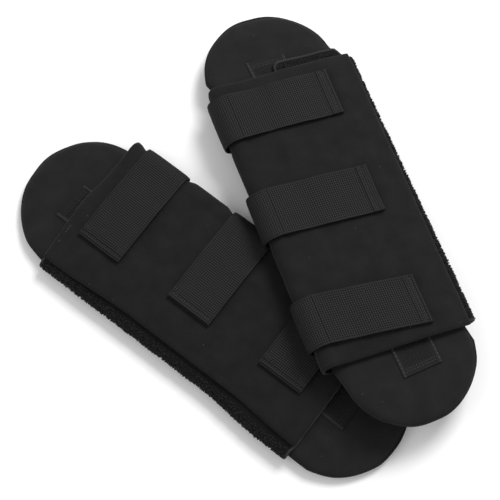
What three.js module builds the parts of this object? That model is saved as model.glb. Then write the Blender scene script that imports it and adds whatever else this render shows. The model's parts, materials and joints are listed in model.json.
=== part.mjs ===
// A pair of padded hand grips. Each grip is a long foam tongue held in a folded wrap, and three
// webbing straps come round the wrap's spine and fasten on its flap. The upper grip lies across
// the lower one. Millimetres, +Z up, and the pair stands on Z = 0 with its middle at the origin.
//
// Each grip is built in a frame of its own: X runs across it, from the spine to the open side,
// Y runs along it and Z is up from the ground that it would lie on.
import * as THREE from "three";

// The tongue.
const PAD_END_RADIUS = 52;
const PAD_COVER = 1;
const PAD_CORE = 4.5;
const CORE_INSET = 3;
const HOOK_STRIP_WIDTH = 31;
const HOOK_TAPE = 1.2;
// How far a dome's arc stops short of its widest place, where it meets the straight sides.
const DOME_START = THREE.MathUtils.degToRad(9);

// The wrap.
const WRAP_LENGTH = 228;
const WRAP_HALF_WIDTH = 55.5;
const SHELL = 1.2;
const BACK_LINING = 1.8;
const FLAP_LINING = 1.5;
const UNDER_FLAP = 1.8;
const SPINE_OUTER = 56;
const SIDE_FOLD_OUTER = 60;
const FLAP_CORNER = 4;
const SPINE_BEND = 5;
// How much of the back belongs to the spine's fold.
const SPINE_BACK = 8;
// How far a lining stays inside the cloth that it lines, at the ends and at the spine.
const LINING_INSET = 1;
const LINING_SPINE_INSET = 4;

// The straps.
const WEBBING_WIDTH = 38;
const WEBBING = 1.6;
const STRAP_OUTER = 59;
const STRAP_BEND = 6;
const ROOT_REACH = 38;
const STRAP_HOOK = 1;
const STRAP_HOOK_LENGTH = 42;
const STRAP_HOOK_MARGIN = 2.5;
// A strap's free part rises onto its hook tape over this length, and is level this far before it.
const TAB_RAMP = 7;
const TAB_LEVEL = 1;

// Layers that touch keep this gap.
const GAP = 0.3;

// How finely curves are cut.
const DOME_SEGMENTS = 20;
const FOLD_SEGMENTS = 6;
const CORNER_SEGMENTS = 3;

// How the layers of a grip stack up, from the ground.
const SHELL_LOW = WEBBING + GAP;
const LINING_LOW = SHELL_LOW + SHELL + GAP;
const PAD_BACK_LOW = LINING_LOW + BACK_LINING + GAP;
const CORE_LOW = PAD_BACK_LOW + PAD_COVER + GAP;
const PAD_FRONT_LOW = CORE_LOW + PAD_CORE + GAP;
const HOOK_STRIP_LOW = PAD_FRONT_LOW + PAD_COVER + GAP;
const UNDER_FLAP_LOW = HOOK_STRIP_LOW + HOOK_TAPE + GAP;
const FLAP_LINING_LOW = UNDER_FLAP_LOW + UNDER_FLAP + GAP;
const FLAP_LOW = FLAP_LINING_LOW + FLAP_LINING + GAP;
const STRAP_HOOK_LOW = FLAP_LOW + SHELL + GAP;
const TAB_END_LOW = STRAP_HOOK_LOW + STRAP_HOOK + GAP;
const TAB_ROOT_LOW = STRAP_HOOK_LOW;
// The folds at the two sides stay below the flaps, so that the flaps can swing past them.
const SPINE_TOP = FLAP_LINING_LOW - 1;
const SIDE_FOLD_TOP = UNDER_FLAP_LOW - 0.2;
const UNDER_FLAP_EDGE = 51;

// What differs between the two grips is how each one happens to lie. A flap's drift is how far
// along the grip its cloth has slid at the spine. Straps run from the far end of Y to the near one:
// middle is a strap's place along the spine, end is where its free end reaches across, and drift
// is how far that end lies along the grip from its middle.
const LOWER = {
  name: "lower",
  farDome: [9.7, 123.8],
  nearDome: [3.9, -114.2],
  waist: [-49.5, 54],
  hookStrip: { far: [7.5, 136.5], near: [7.5, -131] },
  underFlap: { inner: -4, near: -112, far: 116, drift: 0 },
  flap: { near: -117.2, far: 116, drift: 0 },
  straps: [
    { middle: 78, end: 20.5, drift: 0 },
    { middle: -5, end: 21.5, drift: 0 },
    { middle: -87, end: 24, drift: 0 },
  ],
};
const UPPER = {
  name: "upper",
  farDome: [-5.9, 119.3],
  nearDome: [3.3, -119.7],
  waist: [-52, 52],
  hookStrip: { far: [-7.5, 135], near: [9.5, -136] },
  underFlap: { inner: -4, near: -112, far: 122.5, drift: 2.8 },
  flap: { near: -115, far: 117.8, drift: 2.2 },
  straps: [
    { middle: 90.3, end: 29.5, drift: -4 },
    { middle: 9, end: 27.5, drift: -6.5 },
    { middle: -78.5, end: 26.5, drift: -10 },
  ],
};

// How the two lie: the upper grip leans on the lower one's spine.
const LOWER_HEADING = THREE.MathUtils.degToRad(-127.2);
const UPPER_HEADING = THREE.MathUtils.degToRad(21);
const UPPER_LEAN = THREE.MathUtils.degToRad(-8.4);
const LOWER_PLACE = new THREE.Vector3(-46.6, -30.7, 0);
const UPPER_PLACE = new THREE.Vector3(46.6, 30.7, 14.5);

const FINISHES = {
  cover: { color: 0x262628, roughness: 0.9, metalness: 0 },
  foam: { color: 0x3a3a3c, roughness: 1, metalness: 0 },
  shell: { color: 0x242426, roughness: 0.85, metalness: 0 },
  pile: { color: 0x1c1c1e, roughness: 1, metalness: 0 },
  webbing: { color: 0x2a2a2d, roughness: 0.7, metalness: 0 },
  hook: { color: 0x161618, roughness: 0.8, metalness: 0 },
};

const mesh = (name, geometry, finish) => {
  const made = new THREE.Mesh(geometry, new THREE.MeshStandardMaterial(FINISHES[finish]));
  made.name = name;
  return made;
};

// A flat piece: its outline seen from above, its underside's height and its thickness.
const flatPiece = (outline, low, thickness, curveSegments = CORNER_SEGMENTS) => {
  const options = { depth: thickness, bevelEnabled: false, curveSegments };
  const geometry = new THREE.ExtrudeGeometry(outline, options);
  geometry.translate(0, 0, low);
  return geometry;
};

// A piece with the same section all along: the section has X and Z, and it runs along Y.
const runPiece = (section, middle, width) => {
  const options = { depth: width, bevelEnabled: false, curveSegments: FOLD_SEGMENTS };
  const geometry = new THREE.ExtrudeGeometry(section, options);
  geometry.rotateX(Math.PI / 2);
  geometry.translate(0, middle + width / 2, 0);
  return geometry;
};

// Slides a piece along the grip in proportion to X, counted from where it does not move.
const drifted = (geometry, from, to, drift) => {
  const slope = drift / (to - from);
  const shear = new THREE.Matrix4();
  shear.elements[1] = slope;
  shear.elements[13] = -slope * from;
  return geometry.applyMatrix4(shear);
};

const rectangle = (x0, y0, x1, y1, corner = 0) => {
  const outline = new THREE.Shape();
  outline.moveTo(x0 + corner, y0);
  outline.lineTo(x1 - corner, y0);
  if (corner) outline.absarc(x1 - corner, y0 + corner, corner, -Math.PI / 2, 0);
  outline.lineTo(x1, y1 - corner);
  if (corner) outline.absarc(x1 - corner, y1 - corner, corner, 0, Math.PI / 2);
  outline.lineTo(x0 + corner, y1);
  if (corner) outline.absarc(x0 + corner, y1 - corner, corner, Math.PI / 2, Math.PI);
  outline.lineTo(x0, y0 + corner);
  if (corner) outline.absarc(x0 + corner, y0 + corner, corner, Math.PI, 1.5 * Math.PI);
  return outline;
};

// The tongue's outline: straight sides where the wrap holds it and a dome past each end.
const tongueOutline = (lie, inset) => {
  const radius = PAD_END_RADIUS - inset;
  const mouth = WRAP_LENGTH / 2 + 1;
  const [left, right] = lie.waist;
  const outline = new THREE.Shape();
  outline.moveTo(right - inset, -mouth);
  outline.lineTo(right - inset, mouth);
  outline.absarc(...lie.farDome, radius, DOME_START, Math.PI - DOME_START);
  outline.lineTo(left + inset, mouth);
  outline.lineTo(left + inset, -mouth);
  outline.absarc(...lie.nearDome, radius, Math.PI + DOME_START, 2 * Math.PI - DOME_START);
  return outline;
};

// A strip that lies flat and then turns up at the spine, as a section.
const turnedUp = ({ start, outer, low, thickness, bend, top }) => {
  const centreX = bend - outer;
  const centreZ = low + bend;
  const section = new THREE.Shape();
  section.moveTo(start, low);
  section.lineTo(centreX, low);
  section.absarc(centreX, centreZ, bend, -Math.PI / 2, -Math.PI, true);
  section.lineTo(-outer, top);
  section.lineTo(thickness - outer, top);
  section.absarc(centreX, centreZ, bend - thickness, Math.PI, 1.5 * Math.PI);
  section.lineTo(start, low + thickness);
  return section;
};

// The pile's half-round fold at the open side, as a section.
const sideFoldSection = () => {
  const bend = (SIDE_FOLD_TOP - LINING_LOW) / 2;
  const centreX = SIDE_FOLD_OUTER - bend;
  const centreZ = LINING_LOW + bend;
  const section = new THREE.Shape();
  section.absarc(centreX, centreZ, bend, -Math.PI / 2, Math.PI / 2);
  section.absarc(centreX, centreZ, bend - BACK_LINING, Math.PI / 2, -Math.PI / 2, true);
  return section;
};

// A strap's free part, as a section: it lies on the flap at the spine and rides up over its hook
// tape towards its end.
const tabSection = (end) => {
  const hookStart = end - STRAP_HOOK_MARGIN - STRAP_HOOK_LENGTH;
  const low = [
    [-WRAP_HALF_WIDTH, TAB_ROOT_LOW],
    [hookStart - TAB_LEVEL - TAB_RAMP, TAB_ROOT_LOW],
    [hookStart - TAB_LEVEL, TAB_END_LOW],
    [end, TAB_END_LOW],
  ];
  const high = low.map(([x, z]) => [x, z + WEBBING]).reverse();
  return new THREE.Shape([...low, ...high].map(([x, z]) => new THREE.Vector2(x, z)));
};

const makeTongue = (grip, lie) => {
  const piece = (name, inset, low, thickness, finish) => {
    const geometry = flatPiece(tongueOutline(lie, inset), low, thickness, DOME_SEGMENTS);
    grip.add(mesh(`${lie.name}_${name}`, geometry, finish));
  };
  piece("pad_back_cover", 0, PAD_BACK_LOW, PAD_COVER, "cover");
  piece("pad_core", CORE_INSET, CORE_LOW, PAD_CORE, "foam");
  piece("pad_front_cover", 0, PAD_FRONT_LOW, PAD_COVER, "cover");
  const far = new THREE.Vector2(...lie.hookStrip.far);
  const near = new THREE.Vector2(...lie.hookStrip.near);
  const half = far.distanceTo(near) / 2;
  const outline = rectangle(-HOOK_STRIP_WIDTH / 2, -half, HOOK_STRIP_WIDTH / 2, half);
  const strip = flatPiece(outline, HOOK_STRIP_LOW, HOOK_TAPE);
  strip.rotateZ(far.clone().sub(near).angle() - Math.PI / 2);
  strip.translate((far.x + near.x) / 2, (far.y + near.y) / 2, 0);
  grip.add(mesh(`${lie.name}_pad_hook_strip`, strip, "hook"));
};

const makeWrap = (grip, lie) => {
  const half = WRAP_LENGTH / 2;
  const edge = WRAP_HALF_WIDTH;
  const spineStart = SPINE_BACK - SPINE_OUTER;
  const foldStart = SIDE_FOLD_OUTER - (SIDE_FOLD_TOP - LINING_LOW) / 2;
  const add = (name, geometry, finish) => grip.add(mesh(`${lie.name}_${name}`, geometry, finish));

  const back = rectangle(spineStart + GAP, -half, edge, half);
  add("wrap_back_shell", flatPiece(back, SHELL_LOW, SHELL), "shell");
  const liningHalf = half - LINING_INSET;
  const lining = rectangle(LINING_SPINE_INSET - edge, -liningHalf, foldStart - GAP, liningHalf);
  add("wrap_back_lining", flatPiece(lining, LINING_LOW, BACK_LINING), "pile");

  const spine = turnedUp({
    start: spineStart,
    outer: SPINE_OUTER,
    low: SHELL_LOW,
    thickness: SHELL,
    bend: SPINE_BEND,
    top: SPINE_TOP,
  });
  add("wrap_spine_fold", runPiece(spine, 0, WRAP_LENGTH), "shell");
  add("wrap_side_fold", runPiece(sideFoldSection(), 0, 2 * liningHalf), "pile");

  const { inner, near, far, drift } = lie.underFlap;
  const under = flatPiece(rectangle(inner, near, UNDER_FLAP_EDGE, far), UNDER_FLAP_LOW, UNDER_FLAP);
  add("under_flap", drifted(under, UNDER_FLAP_EDGE, inner, drift), "pile");

  const { flap } = lie;
  const flapLining = rectangle(-edge, flap.near + LINING_INSET, edge - LINING_INSET,
    flap.far - LINING_INSET);
  const liningPiece = flatPiece(flapLining, FLAP_LINING_LOW, FLAP_LINING);
  add("flap_lining", drifted(liningPiece, 0, -edge, flap.drift), "pile");
  const flapShell = flatPiece(rectangle(-edge, flap.near, edge, flap.far, FLAP_CORNER),
    FLAP_LOW, SHELL);
  add("flap_shell", drifted(flapShell, 0, -edge, flap.drift), "shell");
};

const makeStrap = (grip, lie, strap, number) => {
  const add = (name, geometry, finish) => {
    grip.add(mesh(`${lie.name}_strap_${name}_${number}`, geometry, finish));
  };
  const root = turnedUp({
    start: ROOT_REACH,
    outer: STRAP_OUTER,
    low: 0,
    thickness: WEBBING,
    bend: STRAP_BEND,
    top: SPINE_TOP,
  });
  add("root", runPiece(root, strap.middle, WEBBING_WIDTH), "webbing");

  const slide = [-WRAP_HALF_WIDTH, strap.end, strap.drift];
  const tab = runPiece(tabSection(strap.end), strap.middle, WEBBING_WIDTH);
  add("tab", drifted(tab, ...slide), "webbing");

  const hookEnd = strap.end - STRAP_HOOK_MARGIN;
  const hookHalf = WEBBING_WIDTH / 2 - STRAP_HOOK_MARGIN;
  const hookOutline = rectangle(hookEnd - STRAP_HOOK_LENGTH, strap.middle - hookHalf,
    hookEnd, strap.middle + hookHalf);
  const hook = flatPiece(hookOutline, STRAP_HOOK_LOW, STRAP_HOOK);
  add("hook", drifted(hook, ...slide), "hook");
};

const makeGrip = (lie) => {
  const grip = new THREE.Group();
  makeTongue(grip, lie);
  makeWrap(grip, lie);
  lie.straps.forEach((strap, index) => makeStrap(grip, lie, strap, index + 1));
  return grip;
};

const UP = new THREE.Vector3(0, 0, 1);
const lower = makeGrip(LOWER);
lower.quaternion.setFromAxisAngle(UP, LOWER_HEADING);
lower.position.copy(LOWER_PLACE);

const upper = makeGrip(UPPER);
const leanAxis = new THREE.Vector3(0, 1, 0).applyAxisAngle(UP, LOWER_HEADING);
const lean = new THREE.Quaternion().setFromAxisAngle(leanAxis, UPPER_LEAN);
const heading = new THREE.Quaternion().setFromAxisAngle(UP, UPPER_HEADING);
upper.quaternion.copy(lean.multiply(heading));
upper.position.copy(UPPER_PLACE);

// The pair's box is centred on the origin and stands on Z = 0.
const pair = new THREE.Group();
pair.add(lower, upper);
pair.updateMatrixWorld(true);
const box = new THREE.Box3().setFromObject(pair, true);
const middle = box.getCenter(new THREE.Vector3());
pair.position.set(-middle.x, -middle.y, -box.min.z);

export default pair;
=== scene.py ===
# %% [markdown]
# # A pair of padded hand grips
# Each grip is a long foam tongue held in a folded wrap. Three webbing straps are sewn to the
# wrap's back, come round its spine and fasten on its flap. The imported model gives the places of
# the pieces and the hinges. This lesson makes the cloth, the webbing, the hook tape and the
# thread around it, each as a piece of its own, and lights the pair as a product picture.

# %% Load the frame
import json
import math
import random
from bisect import bisect_left

import bmesh
import bpy
from mathutils import Matrix, Vector, noise
from mathutils.bvhtree import BVHTree


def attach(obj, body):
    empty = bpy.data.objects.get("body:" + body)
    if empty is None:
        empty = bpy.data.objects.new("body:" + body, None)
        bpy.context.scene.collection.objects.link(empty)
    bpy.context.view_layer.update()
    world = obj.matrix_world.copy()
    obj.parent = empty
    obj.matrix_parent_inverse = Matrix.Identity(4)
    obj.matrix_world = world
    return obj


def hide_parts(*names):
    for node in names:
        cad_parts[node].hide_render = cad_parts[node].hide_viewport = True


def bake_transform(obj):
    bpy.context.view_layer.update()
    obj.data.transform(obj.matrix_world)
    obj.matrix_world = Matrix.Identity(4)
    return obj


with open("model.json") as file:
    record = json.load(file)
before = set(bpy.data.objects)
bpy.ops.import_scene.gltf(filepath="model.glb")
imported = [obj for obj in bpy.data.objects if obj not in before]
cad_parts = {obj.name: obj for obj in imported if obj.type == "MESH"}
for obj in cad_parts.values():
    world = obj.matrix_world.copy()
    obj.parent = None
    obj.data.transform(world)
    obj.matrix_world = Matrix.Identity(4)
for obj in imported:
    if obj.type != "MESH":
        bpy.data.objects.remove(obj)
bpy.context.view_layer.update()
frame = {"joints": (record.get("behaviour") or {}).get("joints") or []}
JOINTS = {joint["name"]: joint for joint in frame["joints"]}
GRIPS = ("lower", "upper")
MM = 0.001

# %% [markdown]
# ## A frame for each grip
# The two grips lie at different angles, and the upper one leans on the lower one. It is easier
# to think in a grip's own frame: X runs across it from the spine to the open side, Y along it,
# and Z up from the ground that it would lie on. The hinges of the two flaps are parallel and
# stand at known places in that frame, so together they give the frame of each grip.

# %% Grip frames
# Where the flap's hinge and the under flap's hinge are, across and up.
FLAP_HINGE = Vector((-55.8, 16.4)) * MM
UNDER_HINGE = Vector((51.3, 14.3)) * MM


def grip_frame(name):
    """The matrix that takes a point in that grip's own frame to the row frame."""
    flap = JOINTS[f"{name}_flap_fold"]
    under = JOINTS[f"{name}_under_flap_fold"]
    along = -Vector(flap["axis"]).normalized()
    reach = (Vector(under["pos_m"]) - Vector(flap["pos_m"])).normalized()
    rise = reach.cross(along)
    slope = UNDER_HINGE - FLAP_HINGE
    tilt = math.atan2(slope.y, slope.x)
    across = math.cos(tilt) * reach - math.sin(tilt) * rise
    up = math.sin(tilt) * reach + math.cos(tilt) * rise
    origin = Vector(flap["pos_m"]) - FLAP_HINGE.x * across - FLAP_HINGE.y * up
    turn = Matrix((across, along, up)).transposed().to_4x4()
    return Matrix.Translation(origin) @ turn


PLACE = {name: grip_frame(name) for name in GRIPS}
for name in GRIPS:
    print(name, "grip's middle", [round(x, 4) for x in PLACE[name].translation])

# %% [markdown]
# ## The camera
# The camera looks down on the pair from in front, steeply but not straight down, so that the
# open side's pile and the thickness of the tongues show. It is aimed at a point beside the
# lower grip's middle.

# %% Camera


def new_object(name, data):
    """An object that carries that data, in the scene."""
    made = bpy.data.objects.new(name, data)
    bpy.context.scene.collection.objects.link(made)
    return made


CAMERA_RISE = math.radians(76.4)
CAMERA_DISTANCE = 1.0
CAMERA_LENS = 94.85
AIM_FROM_LOWER_GRIP = Vector((28.0, 36.5, 0)) * MM

camera_data = bpy.data.cameras.new("camera")
camera_data.lens = CAMERA_LENS
camera = new_object("camera", camera_data)
aim = PLACE["lower"].translation + AIM_FROM_LOWER_GRIP
back = Vector((0, -math.cos(CAMERA_RISE), math.sin(CAMERA_RISE)))
camera.location = aim + CAMERA_DISTANCE * back
camera.rotation_euler = (math.radians(90) - CAMERA_RISE, 0, 0)
bpy.context.scene.camera = camera
print("camera", [round(x, 3) for x in camera.location])

# %% [markdown]
# ## Sizes of the layers
# All layers of a grip are measured from the ground up, in the order in which they are stacked.
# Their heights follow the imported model, so a cloth piece lies where its plain solid lies. The
# webbing and the hook tape are thinner than there, since ribs and hooks stand out from them.

# %% Layer sizes
WRAP_HALF = 114 * MM
EDGE_X = 55.5 * MM
WEBBING = 1.3 * MM
WEBBING_HALF = 19 * MM
SHELL = 1.2 * MM
PILE = 1.8 * MM
FLAP_LINING = 1.5 * MM

# The fold at the spine is a half circle, in the shell and in the webbing outside it.
SPINE_CENTRE = Vector((-47.8, 10.7)) * MM
SHELL_BEND = 8.2 * MM
WEBBING_BEND = 9.9 * MM
# The pile's fold at the open side.
FOLD_CENTRE = Vector((54.5, 8.8)) * MM
FOLD_BEND = 4.5 * MM

SHELL_Z = SPINE_CENTRE.y + SHELL_BEND
TAB_Z = SPINE_CENTRE.y + WEBBING_BEND
LINING_Z = 17.25 * MM
UNDER_FLAP_Z = 15.3 * MM
PAD_LOW_Z = 5.5 * MM
PAD_TOP_Z = 12.6 * MM
# Where a strap's root ends on the flap and its free part begins.
TAB_START_X = -49 * MM
ROOT_REACH = 38 * MM

# %% How each grip lies
# Millimetres, in each grip's frame. Each pair of droop, neck_flare, pile_reach, flap_ends and
# pile_bulge is for the far end and the near one, and so is tape_skew, which is a slope.
# The tongue: a dome's row is its centre and its radius, the waist is the places of its two sides,
# its necks flare on the open side, and hook_far and hook_near are the ends of its hook tape.
# The flap: its inset is what it is drawn in at its ends, and how much more in its middle. Its
# ends reach past the back, and the end bow is how much further the near one reaches in the
# middle. The spine and the straps' roots stand out by their bellies, and the straps by the loop
# where they come onto the flap.
# The pile: under_inner and under_far are where the under flap ends.
# A strap's row is its middle along the spine, how far across it reaches, and how far along the
# grip its end has drifted. A fold's row is its place, direction in degrees, length, width and
# height.
LIES = {
    "lower": {
        "far_dome": (9.7, 123.8, 52), "near_dome": (3.1, -114.4, 53.3), "waist": (-49.5, 54),
        "droop": (3.0, 3.0), "hook_far": (7.5, 136.5), "hook_near": (7.5, -131),
        "tape_skew": (0.0, -0.08), "under_inner": -4, "under_far": 116, "under_drift": 0,
        "neck_flare": (7.0, 3.0), "flap_inset": (0.8, 3.6), "pile_reach": (2.0, 3.0),
        "end_bow": 2.4,
        "flap_drift": 0, "flap_ends": (2.0, 3.4), "spine_belly": 3.8, "spine_hold": 0.6,
        "strap_belly": 2.6, "loop": 0.8, "pile_bulge": (0.3, 0.8), "pile_tip": 4.3,
        "straps": ((78, 20.5, 0), (-5, 21.5, 0), (-87, 24, 0)),
        "tongue_folds": ((-20, -140, 30, 12, 2.2, 0.9), (30, -146, -40, 9, 1.8, 0.6),
                         (-30, -128, 60, 16, 4.0, 0.8), (20, 150, 10, 14, 3.0, 0.7)),
        "flap_folds": ((40, -108, 75, 7, 1.6, 0.9), (46, -103, 60, 8, 1.8, 0.7),
                       (30, -55, 15, 16, 3.4, 1.1), (33, 28, -20, 20, 4.0, 1.0),
                       (-20, -48, 80, 16, 5.0, 0.9), (38, 72, 25, 14, 3.4, 0.9),
                       (-24, 36, 95, 20, 5.0, 0.9), (5, -28, 5, 22, 3.6, 0.7)),
    },
    "upper": {
        "far_dome": (-5.9, 120.0, 52.2), "near_dome": (3.3, -120.3, 52), "waist": (-52, 52),
        "droop": (1.5, 5.0), "hook_far": (-7.5, 135), "hook_near": (9.5, -136),
        "tape_skew": (-0.1, 0.0), "under_inner": -4, "under_far": 122.5, "under_drift": 2.8,
        "neck_flare": (0, 0), "flap_inset": (0, 0), "pile_reach": (0, 0.8),
        "end_bow": 0,
        "flap_drift": 2.2, "flap_ends": (3.8, 1.0), "spine_belly": 3.6, "spine_hold": 0.1,
        "strap_belly": 5.4, "loop": 3.0, "pile_bulge": (-1.2, 0.9), "pile_tip": 0,
        "straps": ((90.3, 29.5, -4), (9, 27.5, -6.5), (-78.5, 26.5, -10)),
        "tongue_folds": ((-17, 160, 20, 7, 1.3, 0.9), (-13, 156, 10, 8, 1.5, 0.8),
                         (-36, 146, 70, 9, 1.8, 0.6), (30, -150, -30, 12, 2.6, 0.7),
                         (-28, -140, 50, 16, 4.0, 0.8), (24, 148, -15, 14, 3.0, 0.7)),
        "flap_folds": ((40, 62, 20, 16, 3.4, 1.1), (38, -22, -25, 20, 3.8, 1.1),
                       (44, -96, 40, 12, 2.6, 0.9), (-22, 52, 85, 15, 4.0, 0.9),
                       (38, 36, 60, 14, 3.0, 0.8), (34, -52, 30, 14, 3.2, 0.9),
                       (-26, -38, 95, 18, 4.6, 0.9), (6, 50, 8, 20, 3.4, 0.7)),
    },
}
print("flap mid-surface at", round(SHELL_Z / MM, 2), "mm, strap at", round(TAB_Z / MM, 2), "mm")

# %% [markdown]
# ## Shared helpers
# Every piece is made flat or in its grip's frame and is then carried to the row frame, so its
# object stays at the origin. A sheet starts as a flat grid whose own coordinates are kept as a
# UV map in metres, and a weave that reads the map follows the cloth round every fold.

# %% Small sums
UV_NAME = "cloth"


def smooth(t):
    """0 below 0, 1 above 1, and a smooth step in between."""
    t = min(1.0, max(0.0, t))
    return t * t * (3 - 2 * t)


def ripple(x, y, size, seed):
    """A smooth random height from -1 to 1 with bumps of about that size."""
    return noise.noise(Vector((x / size, y / size, seed)))


def bumps(rows, x, y, seed=0.0):
    """The height of random bumps at a point. A row is their height and size in millimetres, and
    a seed of their own."""
    return sum(height * MM * ripple(x, y, size * MM, seed + own) for height, size, own in rows)


def folds(rows, x, y):
    """The height of a few short soft folds at a point."""
    total = 0.0
    for fold_x, fold_y, direction, length, width, height in rows:
        dx, dy = x - fold_x * MM, y - fold_y * MM
        if abs(dx) > 3 * length * MM or abs(dy) > 3 * length * MM:
            continue
        turn = math.radians(direction)
        along = (dx * math.cos(turn) + dy * math.sin(turn)) / (length * MM)
        across = (dy * math.cos(turn) - dx * math.sin(turn)) / (width * MM)
        total += height * MM * math.exp(-along * along - across * across)
    return total


# %% Making pieces


def kept_mesh(bm, name):
    """Keeps a bmesh as a mesh with smooth shading."""
    mesh = bpy.data.meshes.new(name)
    bm.to_mesh(mesh)
    bm.free()
    mesh.shade_smooth()
    return mesh


def finished(bm, name, material, grip, body=None):
    """Carries the bmesh to the row frame and makes it a piece, riding on body if one is given."""
    bmesh.ops.transform(bm, matrix=PLACE[grip], verts=bm.verts)
    piece = new_object(name, kept_mesh(bm, name))
    piece.data.materials.append(material)
    if body:
        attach(piece, body)
    return piece


def flat_sheet(across, along, step_across, step_along, shift=0.0):
    """A flat grid, its middle at the origin, with its own coordinates in metres as a UV map.

    shift moves the map across, so that a weave can be in step with another piece's."""
    bm = bmesh.new()
    bmesh.ops.create_grid(
        bm,
        x_segments=max(1, round(across / step_across)),
        y_segments=max(1, round(along / step_along)),
        size=0.5,
        matrix=Matrix.Diagonal((across, along, 1, 1)),
    )
    layer = bm.loops.layers.uv.new(UV_NAME)
    for face in bm.faces:
        for loop in face.loops:
            loop[layer].uv = (loop.vert.co.x + shift, loop.vert.co.y)
    return bm


def lay(bm, place):
    """Moves each point of a flat sheet to where place(across, along) says."""
    for vert in bm.verts:
        vert.co = place(vert.co.x, vert.co.y)
    bmesh.ops.recalc_face_normals(bm, faces=bm.faces)


def thicken(piece, thickness, rounded, sharp):
    """Gives a sheet its thickness, half to each side, and rounds its cut edges.

    An edge is rounded where its faces meet at more than sharp degrees."""
    solid = piece.modifiers.new("thickness", "SOLIDIFY")
    solid.thickness = thickness
    solid.offset = 0
    bevel = piece.modifiers.new("edge", "BEVEL")
    bevel.width = rounded
    bevel.segments = 2
    bevel.limit_method = "ANGLE"
    bevel.angle_limit = math.radians(sharp)


def blended(piece, grip, a, b, start, end):
    """Bakes the piece's place into its mesh; it does not bend the piece between two bodies. grip,
    a, b, start and end are not used; start and end are points in the grip's frame.
    """
    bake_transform(piece)


def cloth_sheet(grip, name, finish, size, steps, place, *, thickness, rounded, stands_for,
                body=None, blend=None, shift=0.0, sharp=50):
    """A sheet of cloth: cut flat, laid by place(across, along), given its thickness, and put in
    the place of the imported parts that it stands for, which are hidden.

    It rides on body, or else blend, which names two bodies and from where to where, is handed to
    blended, which does not bend the sheet."""
    bm = flat_sheet(*size, *steps, shift)
    lay(bm, place)
    piece = finished(bm, f"{grip}_{name}", finish, grip, body)
    thicken(piece, thickness, rounded, sharp)
    if blend:
        blended(piece, grip, *blend)
    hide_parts(*(f"{grip}_{node}" for node in stands_for))


# %% Copies of a small shape and round beads


def scattered(template, matrices):
    """One bmesh with a copy of a small mesh at each matrix."""
    rest = [0.0] * (3 * len(template.vertices))
    template.vertices.foreach_get("co", rest)
    bm = bmesh.new()
    for matrix in matrices:
        template.vertices.foreach_set("co", rest)
        template.transform(matrix)
        bm.from_mesh(template)
    template.vertices.foreach_set("co", rest)
    return bm


def small_parts(grip, name, template, matrices, finish, body):
    """One piece with many copies of a small shape, riding on one of the grip's bodies."""
    bm = scattered(template, matrices)
    piece = finished(bm, f"{grip}_{name}", finish, grip, f"{grip}_{body}")


def centred(count, pitch):
    """That many places in a row at a pitch, with the row's middle at 0."""
    return [(index - (count - 1) / 2) * pitch for index in range(count)]


def facing(place, out, along, scale=1.0):
    """A matrix at place whose Z is out and whose X is as near along as it can be."""
    z = out.normalized()
    y = z.cross(along).normalized()
    x = y.cross(z)
    turn = Matrix((x, y, z)).transposed().to_4x4()
    return Matrix.Translation(place) @ turn @ Matrix.Scale(scale, 4)


def bead(points, radius, closed=False):
    """A bmesh of a round bead along a line of points, such as a rolled edge or a welt."""
    curve = bpy.data.curves.new("bead", "CURVE")
    curve.dimensions = "3D"
    curve.bevel_depth = radius
    curve.bevel_resolution = 2
    curve.use_fill_caps = not closed
    line = curve.splines.new("POLY")
    line.points.add(len(points) - 1)
    for knot, point in zip(line.points, points):
        knot.co = (*point, 1)
    line.use_cyclic_u = closed
    carrier = bpy.data.objects.new("bead", curve)
    mesh = bpy.data.meshes.new_from_object(carrier)
    bpy.data.objects.remove(carrier)
    bm = bmesh.new()
    bm.from_mesh(mesh)
    bpy.data.meshes.remove(mesh)
    return bm


# %% [markdown]
# ## Node groups
# Two effects are shared by more than one finish, so each is a node group with named sockets:
# the brushed surface of a knit and the lint that dark cloth always carries. A group gives out
# only masks and heights. Roughness, sheen and the like are plain values on each finish's own
# shader.

# %% Node helpers


def new_group(name, inputs, outputs):
    """An empty shader group with these sockets, and its input and output nodes."""
    group = bpy.data.node_groups.new(name, "ShaderNodeTree")
    for socket, kind, value in inputs:
        made = group.interface.new_socket(socket, in_out="INPUT", socket_type=kind)
        if value is not None:
            made.default_value = value
    for socket, kind in outputs:
        group.interface.new_socket(socket, in_out="OUTPUT", socket_type=kind)
    return group, group.nodes.new("NodeGroupInput"), group.nodes.new("NodeGroupOutput")


def add_node(tree, kind, inputs=None, **settings):
    """A node with its settings and with values or links on its inputs."""
    node = tree.nodes.new(kind)
    for key, value in settings.items():
        setattr(node, key, value)
    for key, value in (inputs or {}).items():
        if isinstance(value, bpy.types.NodeSocket):
            tree.links.new(value, node.inputs[key])
        else:
            node.inputs[key].default_value = value
    return node


def math_node(tree, operation, a, b=0.0):
    """The output of a Math node on two values or sockets."""
    return add_node(tree, "ShaderNodeMath", {0: a, 1: b}, operation=operation).outputs[0]


def blend_colour(tree, factor, a, b):
    """The output of a colour mix."""
    inputs = {0: factor, 6: a, 7: b}
    return add_node(tree, "ShaderNodeMix", inputs, data_type="RGBA").outputs[2]


def noise_node(tree, vector, scale, detail, roughness=0.5, distortion=0.0):
    """The output of a Noise Texture node, from 0 to 1."""
    inputs = {"Vector": vector, "Scale": scale, "Detail": detail, "Roughness": roughness,
              "Distortion": distortion}
    return add_node(tree, "ShaderNodeTexNoise", inputs).outputs["Fac"]


# %% Brushed knit group


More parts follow.
